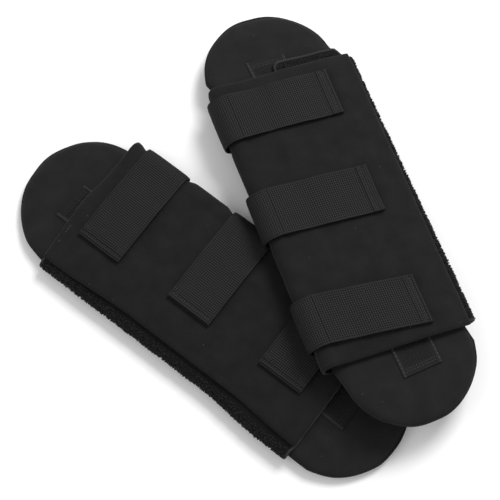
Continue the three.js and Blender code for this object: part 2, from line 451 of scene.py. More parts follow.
def make_brushed_group():
    """Brushed fibres over a knit: a height, and a shade from 0 to 1 that varies over it."""
    group, given, out = new_group(
        "brushed_knit",
        [("Vector", "NodeSocketVector", None), ("Fibre Size", "NodeSocketFloat", 0.0006),
         ("Mottle Size", "NodeSocketFloat", 0.014)],
        [("Height", "NodeSocketFloat"), ("Shade", "NodeSocketFloat")],
    )
    vector, fibre_size = given.outputs["Vector"], given.outputs["Fibre Size"]
    mottle_size = given.outputs["Mottle Size"]
    fine = noise_node(group, vector, math_node(group, "DIVIDE", 1.0, fibre_size), 4.0, 0.65)
    mottle = noise_node(group, vector, math_node(group, "DIVIDE", 1.0, mottle_size), 3.0)
    nap = noise_node(group, vector, math_node(group, "DIVIDE", 0.25, fibre_size), 2.0,
                     distortion=1.5)
    height = math_node(group, "ADD", fine, math_node(group, "MULTIPLY", nap, 0.8))
    group.links.new(height, out.inputs["Height"])
    shade = math_node(group, "MULTIPLY", mottle, 0.55)
    fibre = math_node(group, "MULTIPLY", fine, 0.45)
    group.links.new(math_node(group, "ADD", shade, fibre), out.inputs["Shade"])
    return group


BRUSHED = make_brushed_group()

# %% Lint group


def make_lint_group():
    """A mask of the few pale specks that cling to dark cloth."""
    group, given, out = new_group(
        "lint",
        [("Vector", "NodeSocketVector", None), ("Spacing", "NodeSocketFloat", 0.007),
         ("Share", "NodeSocketFloat", 0.3)],
        [("Mask", "NodeSocketFloat")],
    )
    cells = add_node(group, "ShaderNodeTexVoronoi", {
        "Vector": given.outputs["Vector"],
        "Scale": math_node(group, "DIVIDE", 1.0, given.outputs["Spacing"]),
    })
    near = math_node(group, "LESS_THAN", cells.outputs["Distance"], 0.05)
    chosen = add_node(group, "ShaderNodeSeparateColor", {"Color": cells.outputs["Color"]})
    picked = math_node(group, "LESS_THAN", chosen.outputs[0], given.outputs["Share"])
    group.links.new(math_node(group, "MULTIPLY", near, picked), out.inputs["Mask"])
    return group


LINT = make_lint_group()
print("groups", [group.name for group in bpy.data.node_groups])

# %% [markdown]
# ## Finishes
# The cloth is black, but black cloth is really a very dark grey, and brushed fibres catch the
# light at grazing angles. Sheen with a high roughness gives that, and a low specular level
# keeps the cloth from looking like plastic.

# %% Finish helpers
SHEEN_ROUGHNESS = 0.4


def new_finish(name, roughness, specular, sheen=0.0):
    """A material, its node tree and its shader."""
    material = bpy.data.materials.new(name)
    material.use_nodes = True
    tree = material.node_tree
    shader = tree.nodes["Principled BSDF"]
    shader.inputs["Roughness"].default_value = roughness
    shader.inputs["Specular IOR Level"].default_value = specular
    shader.inputs["Sheen Weight"].default_value = sheen
    shader.inputs["Sheen Roughness"].default_value = SHEEN_ROUGHNESS
    return material, tree, shader


def cloth_vector(tree, on_sheet):
    """Coordinates in metres: the cloth's own on a sheet, the object's on anything else."""
    if on_sheet:
        return add_node(tree, "ShaderNodeUVMap", uv_map=UV_NAME).outputs["UV"]
    return add_node(tree, "ShaderNodeTexCoord").outputs["Object"]


def grey(value):
    """A neutral colour, very slightly cool."""
    return (value, value, value * 1.03, 1)


def relief(tree, shader, height, distance):
    """Feeds a height to the shader's normal."""
    bump = add_node(tree, "ShaderNodeBump", {"Height": height, "Distance": distance})
    tree.links.new(bump.outputs["Normal"], shader.inputs["Normal"])


# %% Brushed cloth finishes
# How many times as bright as the cloth its lint is.
LINT_SHADE = 3.5


def brushed_cloth(name, dark, light, on_sheet, fibre, bump, sheen, knit_pitch=0.0):
    """A brushed knit: two greys mixed by the fibres, lint, and a bump from the same fibres."""
    material, tree, shader = new_finish(name, 0.92, 0.14, sheen)
    vector = cloth_vector(tree, on_sheet)
    nap = add_node(tree, "ShaderNodeGroup", node_tree=BRUSHED)
    tree.links.new(vector, nap.inputs["Vector"])
    nap.inputs["Fibre Size"].default_value = fibre
    colour = blend_colour(tree, nap.outputs["Shade"], grey(dark), grey(light))
    lint = add_node(tree, "ShaderNodeGroup", node_tree=LINT)
    tree.links.new(vector, lint.inputs["Vector"])
    colour = blend_colour(tree, lint.outputs["Mask"], colour, grey(light * LINT_SHADE))
    tree.links.new(colour, shader.inputs["Base Color"])
    height = nap.outputs["Height"]
    if knit_pitch:
        parts = add_node(tree, "ShaderNodeSeparateXYZ", {0: vector})
        turn = 2 * math.pi / knit_pitch
        wale = math_node(tree, "SINE", math_node(tree, "MULTIPLY", parts.outputs[0], turn))
        course = math_node(tree, "SINE", math_node(tree, "MULTIPLY", parts.outputs[1], turn))
        knit = math_node(tree, "MULTIPLY", math_node(tree, "ADD", wale, course), 0.1)
        height = math_node(tree, "ADD", height, knit)
    relief(tree, shader, height, bump)
    return material


SHELL_CLOTH = brushed_cloth("brushed_shell", 0.0025, 0.018, True, 0.0007, 0.0003, 0.06, 0.0011)
PAD_CLOTH = brushed_cloth("brushed_pad", 0.004, 0.0205, False, 0.0007, 0.0003, 0.07)
# The pile cloth is dark of its own, and is kept darker than the tufts' yarn so that it shows as
# painted shade under the flap's edge.
PILE_CLOTH = brushed_cloth("loop_pile", 0.0015, 0.009, True, 0.0011, 0.0006, 0.1)
# The binding's paler grey is partly its own greyer cloth and partly a painted highlight on its
# rolled edge.
BINDING_CLOTH_AND_HIGHLIGHT = brushed_cloth("binding", 0.012, 0.042, False, 0.0007, 0.0002, 0.08)

# %% Webbing finish
RIB_PITCH = 1.65 * MM
CORD_PITCH = 1.7 * MM
WEB_SELVAGE = 1.1 * MM


def webbing_finish():
    """Woven webbing: its ribs and cords are in the mesh, and shade is painted into its colour in
    the valleys between them.
    """
    material, tree, shader = new_finish("webbing", 0.6, 0.1, 0.01)
    vector = cloth_vector(tree, on_sheet=True)
    parts = add_node(tree, "ShaderNodeSeparateXYZ", {0: vector})
    crests = []
    for axis, pitch in ((0, RIB_PITCH), (1, CORD_PITCH)):
        turn = math_node(tree, "MULTIPLY", parts.outputs[axis], 2 * math.pi / pitch)
        wave = math_node(tree, "MULTIPLY", math_node(tree, "COSINE", turn), -0.5)
        crests.append(math_node(tree, "POWER", math_node(tree, "ADD", wave, 0.5), 1.3))
    cords = math_node(tree, "ADD", math_node(tree, "MULTIPLY", crests[1], 0.75), 0.25)
    # 1 on the crests and 0 in the valleys, where the darker grey below is painted shade.
    painted_valley_shade_mask = math_node(tree, "MULTIPLY", crests[0], cords)
    yarn = noise_node(tree, vector, 2600.0, 2.0)
    uneven = math_node(tree, "ADD", math_node(tree, "MULTIPLY", yarn, 1.2), 0.4)
    shade = math_node(tree, "MULTIPLY", painted_valley_shade_mask, uneven)
    colour = blend_colour(tree, shade, grey(0.0012), grey(0.029))
    side = math_node(tree, "ABSOLUTE", parts.outputs[1])
    selvage = math_node(tree, "GREATER_THAN", side, WEBBING_HALF - WEB_SELVAGE)
    colour = blend_colour(tree, selvage, colour, grey(0.011))
    tree.links.new(colour, shader.inputs["Base Color"])
    relief(tree, shader, yarn, 0.00012)
    return material


WEBBING_YARN = webbing_finish()
print("cords in a strap's width", round(2 * WEBBING_HALF / CORD_PITCH, 1))

# %% Hook tape, thread and tuft finishes
TAPE_HALF = 15.5 * MM
SELVAGE_WIDTH = 2.1 * MM


def speckled_finish(name, dark, light, roughness, specular, size, bump):
    """A small piece in two greys of a fine grain, with a bump of the same grain."""
    material, tree, shader = new_finish(name, roughness, specular)
    vector = cloth_vector(tree, on_sheet=False)
    grain = noise_node(tree, vector, 1 / size, 3.0)
    colour = blend_colour(tree, grain, grey(dark), grey(light))
    tree.links.new(colour, shader.inputs["Base Color"])
    relief(tree, shader, grain, bump)
    return material


def tape_finish():
    """The woven ground of hook tape: black under the hooks, and paler in its two selvages, where
    the paler grey is a painted highlight.
    """
    material, tree, shader = new_finish("hook_tape", 0.7, 0.25)
    vector = cloth_vector(tree, on_sheet=True)
    parts = add_node(tree, "ShaderNodeSeparateXYZ", {0: vector})
    side = math_node(tree, "ABSOLUTE", parts.outputs[0])
    selvage = math_node(tree, "GREATER_THAN", side, TAPE_HALF - SELVAGE_WIDTH)
    weave = add_node(tree, "ShaderNodeTexWave", {"Vector": vector, "Scale": 280.0,
                                                 "Distortion": 2.0, "Detail": 2.0},
                     bands_direction="Y")
    ground = blend_colour(tree, weave.outputs["Fac"], grey(0.0015), grey(0.006))
    # The selvages' paler grey is a painted highlight on their raised cords.
    edge = blend_colour(tree, weave.outputs["Fac"], grey(0.009), grey(0.022))
    tree.links.new(blend_colour(tree, selvage, ground, edge), shader.inputs["Base Color"])
    relief(tree, shader, weave.outputs["Fac"], 0.0002)
    return material


HOOK_GROUND = tape_finish()
HOOK_NYLON = speckled_finish("hook_nylon", 0.004, 0.017, 0.45, 0.35, 0.0005, 0.00005)
THREAD = speckled_finish("thread", 0.015, 0.038, 0.5, 0.35, 0.0004, 0.00008)
DARK_THREAD = speckled_finish("dark_thread", 0.008, 0.025, 0.55, 0.3, 0.0004, 0.00008)
# The tufts' yarn is the pile's own loops, painted lighter than the pile cloth as light caught at
# the open side's rim.
PILE_YARN_PAINTED_LIGHT = speckled_finish("pile_yarn_painted_light", 0.003, 0.034, 0.85, 0.12, 0.0007, 0.0001)
print("finishes", [material.name for material in bpy.data.materials])

# %% [markdown]
# ## The tongue's outline
# The tongue has straight sides where the wrap holds it and a dome past each end. A plain
# rectangle of squares is bent into that outline: the rows near the ends bow, and the last ones
# wrap round the dome. That gives an even mesh that is ready for a cloth simulation, with its
# rim exactly on the seam.

# %% Tongue outline
DOME_START = math.radians(9)
MOUTH = 115 * MM
STRAIGHT = 102 * MM
NECK = 24 * MM
DOME = 44 * MM
NECK_TURN = 0.45
TONGUE_HALF = STRAIGHT + NECK + DOME
RIM_BUMPS = ((0.7, 15, 3.7),)


def tongue_plan(grip, u, t):
    """A point of the tongue seen from above, and how far it is from the rim.

    u runs from -1 to 1 across and t from -TONGUE_HALF to TONGUE_HALF along."""
    lie = LIES[grip]
    side = 1 if t >= 0 else -1
    dome_x, dome_y, radius = (value * MM for value in lie["far_dome" if t >= 0 else "near_dome"])
    dome = Vector((dome_x, dome_y))
    left, right = (x * MM for x in lie["waist"])
    middle, half = (left + right) / 2, (right - left) / 2
    row = abs(t)
    if row <= STRAIGHT:
        return Vector((middle + u * half, t)), (1 - abs(u)) * half
    if row <= STRAIGHT + NECK:
        k = (row - STRAIGHT) / NECK
        waist_x = right if u > 0 else left
        arc = dome + radius * Vector((math.copysign(math.cos(DOME_START), u),
                                      side * math.sin(DOME_START)))
        centre = Vector((middle, side * STRAIGHT)).lerp(dome, k)
        flare = lie["neck_flare"][0 if side > 0 else 1] * MM if u > 0 else 0.0
        corner = Vector((waist_x + flare, side * MOUTH))
        if k < NECK_TURN:
            edge = Vector((waist_x, side * STRAIGHT)).lerp(corner, k / NECK_TURN)
        else:
            edge = corner.lerp(arc, (k - NECK_TURN) / (1 - NECK_TURN))
        return centre.lerp(edge, abs(u)), (1 - abs(u)) * (edge - centre).length
    w = (row - STRAIGHT - NECK) / DOME
    x, y = u * math.sqrt(1 - w * w / 2), w * math.sqrt(1 - u * u / 2)
    reach = math.hypot(x, y)
    angle = DOME_START + math.atan2(y, x) * (math.pi - 2 * DOME_START) / math.pi
    radius += bumps(RIM_BUMPS, angle * radius, side * dome_x)
    spot = dome + radius * reach * Vector((math.cos(angle), side * math.sin(angle)))
    return spot, radius * (1 - reach)


print("plain tongue", round(2 * TONGUE_HALF / MM), "mm long before it is bent")

# %% [markdown]
# ## Filling the tongue
# Two such sheets, joined at the rim, make a thin closed form with rounded edges. A cloth
# simulation with a little pressure then swells its free ends, as foam does in a tight cover. It
# is held still where the wrap grips it and where the hook tape is sewn down. Afterwards the
# ends hang a little, and a few soft folds are pushed in.

# %% Tongue form
TONGUE_COLUMNS = 30
TONGUE_STEP = 3.5 * MM
EDGE_ROUND = 5.5 * MM
SWELL_CAP = 1.6 * MM
RIM_CREASE = 0.7
SIM_FRAMES = 20
FILL_PRESSURE = 4.0
TONGUE_MIDDLE = (PAD_LOW_Z + PAD_TOP_Z) / 2
# What is left for the pressure to fill on each side, and where the free ends start to hang.
FILL_ROOM = 0.2 * MM
DROOP_START = WRAP_HALF - 6 * MM
DROOP_RUN = 62 * MM


def droop(grip, y):
    """How far the tongue's free ends hang below its plain height."""
    far, near = LIES[grip]["droop"]
    amount = (far if y > 0 else near) * MM
    return -amount * smooth((abs(y) - DROOP_START) / DROOP_RUN) ** 1.2


def tongue_form(grip):
    """The closed form of the tongue, in the grip's frame."""
    bm = flat_sheet(2, 2 * TONGUE_HALF, 2 / TONGUE_COLUMNS, TONGUE_STEP)
    rise = (PAD_TOP_Z - PAD_LOW_Z) / 2 - FILL_ROOM
    plans = [tongue_plan(grip, vert.co.x, vert.co.y) for vert in bm.verts]
    twin = bmesh.ops.duplicate(bm, geom=bm.verts[:] + bm.edges[:] + bm.faces[:])
    under = [item for item in twin["geom"] if isinstance(item, bmesh.types.BMVert)]
    upper = [vert for vert in bm.verts if vert not in set(under)]
    for verts, side in ((upper, 1), (under, -1)):
        for vert, (spot, inset) in zip(verts, plans):
            t = min(1.0, max(0.0, inset / EDGE_ROUND))
            vert.co = (*spot, TONGUE_MIDDLE + side * rise * math.sqrt(1 - (1 - t) ** 2))
    bmesh.ops.remove_doubles(bm, verts=bm.verts, dist=0.02 * MM)
    bmesh.ops.recalc_face_normals(bm, faces=bm.faces)
    crease = bm.edges.layers.float.new("crease_edge")
    for edge in bm.edges:
        if all(abs(vert.co.z - TONGUE_MIDDLE) < 0.01 * MM for vert in edge.verts):
            edge[crease] = RIM_CREASE
    return bm


# %% Cloth simulation


def fill_with_cloth(piece, pinned):
    """Blows a closed piece up a little with cloth, and keeps the result as its mesh."""
    rest = [vert.co.copy() for vert in piece.data.vertices]
    group = piece.vertex_groups.new(name="held")
    group.add([index for index, co in enumerate(rest) if pinned(co)], 1.0, "REPLACE")
    cloth = piece.modifiers.new("fill", "CLOTH")
    cloth.settings.use_pressure = True
    cloth.settings.uniform_pressure_force = FILL_PRESSURE
    cloth.settings.effector_weights.gravity = 0
    cloth.settings.vertex_group_mass = "held"
    cloth.point_cache.frame_start = 1
    cloth.point_cache.frame_end = SIM_FRAMES
    scene = bpy.context.scene
    for number in range(1, SIM_FRAMES + 1):
        scene.frame_set(number)
    graph = bpy.context.evaluated_depsgraph_get()
    moved = [vert.co.copy() for vert in piece.evaluated_get(graph).data.vertices]
    piece.modifiers.remove(cloth)
    scene.frame_set(1)
    largest = 0.0
    for vert, before, after in zip(piece.data.vertices, rest, moved):
        step = after - before
        largest = max(largest, step.length)
        if step.length > SWELL_CAP:
            step *= SWELL_CAP / step.length
        vert.co = before + step
    return largest


# %% Tongues
TONGUE_BUMPS = ((0.45, 30, 41), (0.2, 12, 43))
FREE_RUN = 14 * MM
# How much of the bumps and folds reaches the tongue's underside.
UNDER_SHARE = 0.4


def on_tape(grip, x, y, margin):
    """Whether a point is under the hook tape or within margin of it."""
    near, far = (Vector(LIES[grip][key]) * MM for key in ("hook_near", "hook_far"))
    line = (far - near).normalized()
    offset = Vector((x, y)) - near
    along = offset.dot(line)
    return (abs(offset.cross(line)) < TAPE_HALF + margin
            and -margin < along < (far - near).length + margin)


def make_tongue(grip):
    """The padded tongue, filled and settled."""
    mesh = kept_mesh(tongue_form(grip), f"{grip}_tongue")
    tongue = new_object(f"{grip}_tongue", mesh)

    def pinned(co):
        held_by_tape = co.z > TONGUE_MIDDLE and on_tape(grip, co.x, co.y, 0)
        return abs(co.y) < MOUTH or held_by_tape

    largest = fill_with_cloth(tongue, pinned)
    rows = LIES[grip]["tongue_folds"]
    seed = GRIPS.index(grip) * 9.0
    for vert in mesh.vertices:
        x, y, z = vert.co
        top = z > TONGUE_MIDDLE + 1 * MM
        free = smooth((abs(y) - WRAP_HALF) / FREE_RUN)
        soft = bumps(TONGUE_BUMPS, x, y, seed) + folds(rows, x, y)
        vert.co.z = z + free * soft * (1 if top else UNDER_SHARE) + droop(grip, y)
    mesh.transform(PLACE[grip])
    mesh.materials.append(PAD_CLOTH)
    tongue.modifiers.new("round", "SUBSURF").render_levels = 1
    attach(tongue, f"{grip}_grip")
    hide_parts(f"{grip}_pad_back_cover", f"{grip}_pad_core", f"{grip}_pad_front_cover")
    print(grip, "tongue", len(mesh.polygons), "faces, moved up to", round(largest / MM, 1), "mm")
    return tongue


TONGUES = {grip: make_tongue(grip) for grip in GRIPS}

# %% Surface of a tongue
RAY_START_Z = 100 * MM


def surface_of(piece, grip):
    """A function that gives the height of a piece's top at a point, in the grip's frame."""
    graph = bpy.context.evaluated_depsgraph_get()
    made = piece.evaluated_get(graph)
    mesh = made.to_mesh()
    back = PLACE[grip].inverted()
    points = [back @ vert.co for vert in mesh.vertices]
    tree = BVHTree.FromPolygons(points, [polygon.vertices[:] for polygon in mesh.polygons])
    made.to_mesh_clear()

    def height(x, y):
        return tree.ray_cast(Vector((x, y, RAY_START_Z)), Vector((0, 0, -1)))[0].z

    return height


TONGUE_TOP = {grip: surface_of(TONGUES[grip], grip) for grip in GRIPS}
for grip in GRIPS:
    print(grip, "dome top at", round(TONGUE_TOP[grip](0, 150 * MM) / MM, 2), "mm")

# %% [markdown]
# ## The tongue's seam
# The two covers of a tongue are sewn together all round. The seam lies on the rim as a slim
# ridge, and it is seen as a fine line that catches the light. A round bead that follows the
# rim makes it.

# %% Seam
SEAM_RADIUS = 0.75 * MM
SEAM_INSET = 0.6 * MM
SEAM_STEP = 2.2 * MM
SEAM_BUMPS = ((0.18, 9, 2),)


def rim_points(grip, step):
    """Points along the tongue's rim, once round, at least step apart."""
    columns = [-1 + 2 * k / 60 for k in range(61)]
    rows = [TONGUE_HALF * (-1 + 2 * k / 200) for k in range(201)]
    loop = [(1, t) for t in rows] + [(u, TONGUE_HALF) for u in reversed(columns)]
    loop += [(-1, t) for t in reversed(rows)] + [(u, -TONGUE_HALF) for u in columns]
    spots = [tongue_plan(grip, u, t)[0] for u, t in loop]
    inner = [tongue_plan(grip, 0.96 * u, 0.99 * t)[0] for u, t in loop]
    spots = [spot + SEAM_INSET * (into - spot).normalized()
             for spot, into in zip(spots, inner)]
    even = [spots[0]]
    for spot in spots[1:]:
        if (spot - even[-1]).length >= step and (spot - even[0]).length >= step / 2:
            even.append(spot)
    return even


def make_seam(grip):
    """The welt on the tongue's rim."""
    points = [Vector((*spot, TONGUE_MIDDLE + droop(grip, spot.y) + bumps(SEAM_BUMPS, *spot)))
              for spot in rim_points(grip, SEAM_STEP)]
    seam = finished(bead(points, SEAM_RADIUS, closed=True), f"{grip}_tongue_seam", PAD_CLOTH,
                    grip, f"{grip}_grip")
    return len(points)


for grip in GRIPS:
    print(grip, "seam knots", make_seam(grip))

# %% [markdown]
# ## Hook tape on the tongue
# A long strip of hook tape is sewn down the middle of each tongue, and both of its ends show
# past the wrap. Its ground is woven, with a raised selvage along each side. Between them stand
# rows of little hooks. Each hook is one small bent shape, copied over the strip.

# %% Small shapes


def stem(segments, low_radius, top_radius, height, middle):
    """A bmesh of a tapered stem whose middle is that high up, and the edges of its top."""
    bm = bmesh.new()
    bmesh.ops.create_cone(bm, segments=segments, radius1=low_radius, radius2=top_radius,
                          depth=height, matrix=Matrix.Translation((0, 0, middle)))
    return bm, [edge for edge in bm.edges if all(v.co.z > 0.4 * MM for v in edge.verts)]


def drawn_out(bm, rim, slide, rise):
    """Draws a rim of edges out. Gives its new points, its new edges and its new middle."""
    grown = bmesh.ops.extrude_edge_only(bm, edges=rim)["geom"]
    verts = [item for item in grown if isinstance(item, bmesh.types.BMVert)]
    rim = [item for item in grown if isinstance(item, bmesh.types.BMEdge)]
    bmesh.ops.translate(bm, vec=(slide * MM, 0, rise * MM), verts=verts)
    return verts, rim, sum((v.co for v in verts), Vector()) / len(verts)


def capped(bm, rim, name):
    """Closes a small shape at its rim and keeps it as a mesh to be copied."""
    bmesh.ops.contextual_create(bm, geom=rim)
    bmesh.ops.recalc_face_normals(bm, faces=bm.faces)
    return kept_mesh(bm, name)


def hook_shape():
    """A hook: a stem that leans over at its top."""
    bm, rim = stem(4, 0.3 * MM, 0.19 * MM, 0.5 * MM, 0.25 * MM)
    turn = Matrix.Rotation(math.radians(38), 4, "Y")
    for slide, rise in ((0.12, 0.18), (0.22, 0.06), (0.2, -0.1)):
        verts, rim, middle = drawn_out(bm, rim, slide, rise)
        about = Matrix.Translation(middle) @ turn @ Matrix.Translation(-middle)
        bmesh.ops.transform(bm, matrix=about, verts=verts)
    return capped(bm, rim, "hook")


def stitch_shape():
    """A stitch: a short round bead along X."""
    bm = bmesh.new()
    shape = Matrix.Diagonal((1.25 * MM, 0.42 * MM, 0.36 * MM, 1))
    turn = Matrix.Rotation(math.radians(90), 4, "Y")
    bmesh.ops.create_uvsphere(bm, u_segments=7, v_segments=5, radius=1.0, matrix=shape @ turn)
    return kept_mesh(bm, "stitch")


HOOK = hook_shape()
STITCH = stitch_shape()
print("hook faces", len(HOOK.polygons), "stitch faces", len(STITCH.polygons))

# %% Stitches in a row
STITCH_LENGTH = 2.9 * MM


def stitch_row(start, end, pitch, surface, zigzag=0.0):
    """Matrices for stitches from start to end, seen from above, on a surface height function.

    zigzag is how many degrees each stitch is turned, to one side and the other by turns."""
    run = end - start
    count = max(1, round(run.length / pitch))
    rows = []
    for index in range(count):
        spot = start + run * ((index + 0.5) / count)
        along = Vector((run.x, run.y, 0)).normalized()
        along.rotate(Matrix.Rotation(math.radians(zigzag if index % 2 else -zigzag), 3, "Z"))
        place = Vector((spot.x, spot.y, surface(spot.x, spot.y)))
        rows.append(facing(place, Vector((0, 0, 1)), along, pitch / STITCH_LENGTH))
    return rows


# %% Hook tape
TAPE = 0.7 * MM
TAPE_EDGE = 0.12 * MM
HOOK_PITCH = 1.75 * MM
TAPE_BARE_ENDS = 11 * MM
# How high the tape's middle lies on the tongue, and how its edges stand up past that.
TAPE_LIFT = 0.42 * MM
SELVAGE_RISE = 0.45 * MM
TAPE_END_RISE = 0.4 * MM
# The thread pulls the tape down at that distance from its ends.
TAPE_END_SEAM = 4.2 * MM
SEAM_DIP = 0.3 * MM
HOOK_FIELD_INSET = 1.2 * MM
HOOK_LIFT = 0.3 * MM


def tape_frame(grip):
    """The middle of a tongue's tape, its direction along and across, and its length."""
    near, far = (Vector(LIES[grip][key]) * MM for key in ("hook_near", "hook_far"))
    along = (far - near).normalized()
    return (far + near) / 2, along, Vector((along.y, -along.x)), (far - near).length


def tape_spot(grip, u, v):
    """A point of a tongue's tape seen from above; its ends aren't cut quite square."""
    middle, along, across, length = tape_frame(grip)
    far, near = LIES[grip]["tape_skew"]
    skew = (far if v > 0 else near) * (u - math.copysign(TAPE_HALF, -v))
    return middle + across * u + along * (v + skew * smooth((abs(v) - length / 2) / (34 * MM) + 1))


def tape_place(grip, u, v):
    """Where a point of a tongue's tape goes, with its raised selvages and stitched ends."""
    length = tape_frame(grip)[3]
    spot = tape_spot(grip, u, v)
    side = TAPE_HALF - abs(u)
    end = length / 2 - abs(v)
    raised = SELVAGE_RISE * smooth(side / (0.5 * MM)) * smooth((SELVAGE_WIDTH - side) / MM)
    raised += TAPE_END_RISE * smooth((1.6 * MM - end) / MM)
    dip = SEAM_DIP * math.exp(-((end - TAPE_END_SEAM) / (1.0 * MM)) ** 2)
    return Vector((*spot, TONGUE_TOP[grip](*spot) + TAPE_LIFT + raised - dip))


def tape_hooks(grip):
    """Matrices for the rows of hooks on a tongue's tape."""
    dice = random.Random(grip)
    length = tape_frame(grip)[3]
    along = Vector((*tape_frame(grip)[1], 0))
    field = TAPE_HALF - SELVAGE_WIDTH - HOOK_FIELD_INSET
    columns = centred(int(2 * field / HOOK_PITCH), HOOK_PITCH)
    hooks = []
    for v in centred(int((length - TAPE_BARE_ENDS) / HOOK_PITCH), HOOK_PITCH):
        for column, across in enumerate(columns):
            u = across + dice.uniform(-0.1, 0.1) * MM
            point = tape_place(grip, u, v)
            heading = along * (1 if column % 2 else -1) + Vector((dice.uniform(-0.4, 0.4), 0, 0))
            up = Vector((dice.uniform(-0.15, 0.15), dice.uniform(-0.15, 0.15), 1))
            hooks.append(facing(point + Vector((0, 0, HOOK_LIFT)), up, heading,
                                dice.uniform(0.9, 1.1)))
    return hooks


# The zigzag across the tape's ends and the row along each selvage: pitch and height.
ZIGZAG_PITCH = 2.1 * MM
ZIGZAG_RISE = 0.85 * MM
SELVAGE_STITCH_PITCH = 3.2 * MM
SELVAGE_STITCH_RISE = 1.3 * MM
SELVAGE_STITCH_INSET = 1.1 * MM


def tape_stitches(grip):
    """Matrices for the stitches at the tape's ends, in zigzag, and along its selvages."""
    length = tape_frame(grip)[3]
    top = TONGUE_TOP[grip]
    rows = []
    side = TAPE_HALF - SELVAGE_STITCH_INSET
    for end in (-1, 1):
        for inset in (5.2, 3.2):
            v = end * (length / 2 - inset * MM)
            rows += stitch_row(tape_spot(grip, -side, v), tape_spot(grip, side, v), ZIGZAG_PITCH,
                               lambda x, y: top(x, y) + ZIGZAG_RISE, 38)
        rows += stitch_row(tape_spot(grip, end * side, 2 * MM - length / 2),
                           tape_spot(grip, end * side, length / 2 - 2 * MM),
                           SELVAGE_STITCH_PITCH, lambda x, y: top(x, y) + SELVAGE_STITCH_RISE)
    return rows


# %% Tape pieces


def make_tape(grip):
    """The hook tape with its hooks and its stitching."""
    length = tape_frame(grip)[3]
    cloth_sheet(grip, "tape", HOOK_GROUND, (2 * TAPE_HALF, length), (0.78 * MM, 1.6 * MM),
                lambda u, v: tape_place(grip, u, v), thickness=TAPE, rounded=TAPE_EDGE,
                stands_for=["pad_hook_strip"],
                body=f"{grip}_grip")
    hooks, stitches = tape_hooks(grip), tape_stitches(grip)
    thread = THREAD if grip == "upper" else DARK_THREAD
    small_parts(grip, "tape_hooks", HOOK, hooks, HOOK_NYLON, "grip")
    small_parts(grip, "tape_stitches", STITCH, stitches, thread, "grip")
    return len(hooks), len(stitches)


for grip in GRIPS:
    print(grip, "hooks and stitches", make_tape(grip))

# %% [markdown]
# ## How the layers settle
# Cloth that lies on something soft is never flat. One height field for each grip says how far
# the whole stack above the tongue sags or rises at a point. Every layer of the stack uses the
# same field, so the layers follow each other and never cut through each other.

# %% The height field
SPINE_EASE = 16 * MM
SIDE_DROOP = 2.1 * MM
SIDE_DROOP_FROM = 34 * MM
END_DROOP_FROM = 96 * MM
END_DROOP = 1.3 * MM
END_DROOP_NO_FLAP = 1.5 * MM
STRAP_PRESS = 0.8 * MM
CROWN = 1.1 * MM
LOFT = 0.7 * MM
SOFT_BUMPS = ((1.1, 40, 0), (0.6, 17, 4), (0.14, 6, 9))


def sag(grip, x, y):
    """How far the stack above the tongue is from its plain height at a point of the grip."""
    lie = LIES[grip]
    seed = 3.0 if grip == "lower" else 11.0
    crown = CROWN * (1 - (x / (60 * MM)) ** 2)
    side = -SIDE_DROOP * smooth((x - SIDE_DROOP_FROM) / (21 * MM))
    end = smooth((abs(y) - END_DROOP_FROM) / (20 * MM))
    held = smooth((x - (lie["under_inner"] - 6) * MM) / (10 * MM))
    tip = -end * (END_DROOP + END_DROOP_NO_FLAP * (1 - held))
    press = 0.0
    for middle, reach, drift in lie["straps"]:
        share = smooth((reach * MM + 10 * MM - x) / (16 * MM))
        centre = (middle + drift * (x / MM + 49) / (reach + 49)) * MM
        press -= STRAP_PRESS * share * math.exp(-((y - centre) / (19 * MM)) ** 4)
    soft = bumps(SOFT_BUMPS, x, y, seed) + folds(lie["flap_folds"], x, y)
    ease = smooth((x - SPINE_CENTRE.x) / SPINE_EASE)
    return ease * (crown + side + tip + press + LOFT + soft)


def slide_along(grip, x, y):
    """How far along the grip the flap's cloth is from the back's: the flap isn't quite square,
    and it reaches past the back at both ends."""
    far, near = LIES[grip]["flap_ends"]
    near += LIES[grip]["end_bow"] * math.exp(-((x - 6 * MM) / (24 * MM)) ** 2)
    reach = smooth((abs(y) - 50 * MM) / (60 * MM)) * (far if y > 0 else -near)
    return (reach - LIES[grip]["flap_drift"] * x / EDGE_X) * MM


def open_inset(grip, x, y):
    """How far the flap is drawn in from the open side, more in its middle than at its ends."""
    ends, middle = LIES[grip]["flap_inset"]
    inset = ends + middle * (1 - smooth((abs(y - 5 * MM) - 45 * MM) / (62 * MM)))
    return inset * MM * smooth((x + 20 * MM) / (75 * MM))


for grip in GRIPS:
    print(grip, "flap stands", round(sag(grip, 0, 0) / MM, 2), "mm above its plain height")

# %% [markdown]
# ## Paths round the folds
# The shell, the pile and the straps all go along the bottom, round a half circle and back along
# the top. One function walks that path. It gives a point and the outward direction there for
# any length along the cloth.

# %% Path round a fold


def fold_path(s, start, centre, bend, side):
    """The point (across, up) and outward direction at length s along a cloth that starts at
    start, runs along the bottom towards side (-1 or 1), turns up round centre and comes back.
    The last value is how far round the fold the point is, from 0 to 1."""
    flat = abs(centre.x - start)
    turn = math.pi * bend
    if s < flat:
        return Vector((start + side * s, centre.y - bend)), Vector((0, -1)), 0.0
    if s < flat + turn:
        angle = (s - flat) / bend
        out = Vector((side * math.sin(angle), -math.cos(angle)))
        return centre + bend * out, out, angle / math.pi
    return Vector((centre.x - side * (s - flat - turn), centre.y + bend)), Vector((0, 1)), 1.0


# %% [markdown]
# ## The wrap's shell
# The shell is one sheet of brushed knit that starts at the open side under the tongue, goes
# round the spine and comes back over it as the flap. Its ends and its free edge are turned over
# the lining, so the last few millimetres curl down.

# %% Shell
SHELL_ACROSS = 2 * (EDGE_X - SPINE_CENTRE.x) + math.pi * SHELL_BEND
HEM_BEND = 1.6 * MM
HEM_LENGTH = HEM_BEND * math.pi / 2
SHELL_ALONG_HALF = WRAP_HALF + HEM_LENGTH - HEM_BEND
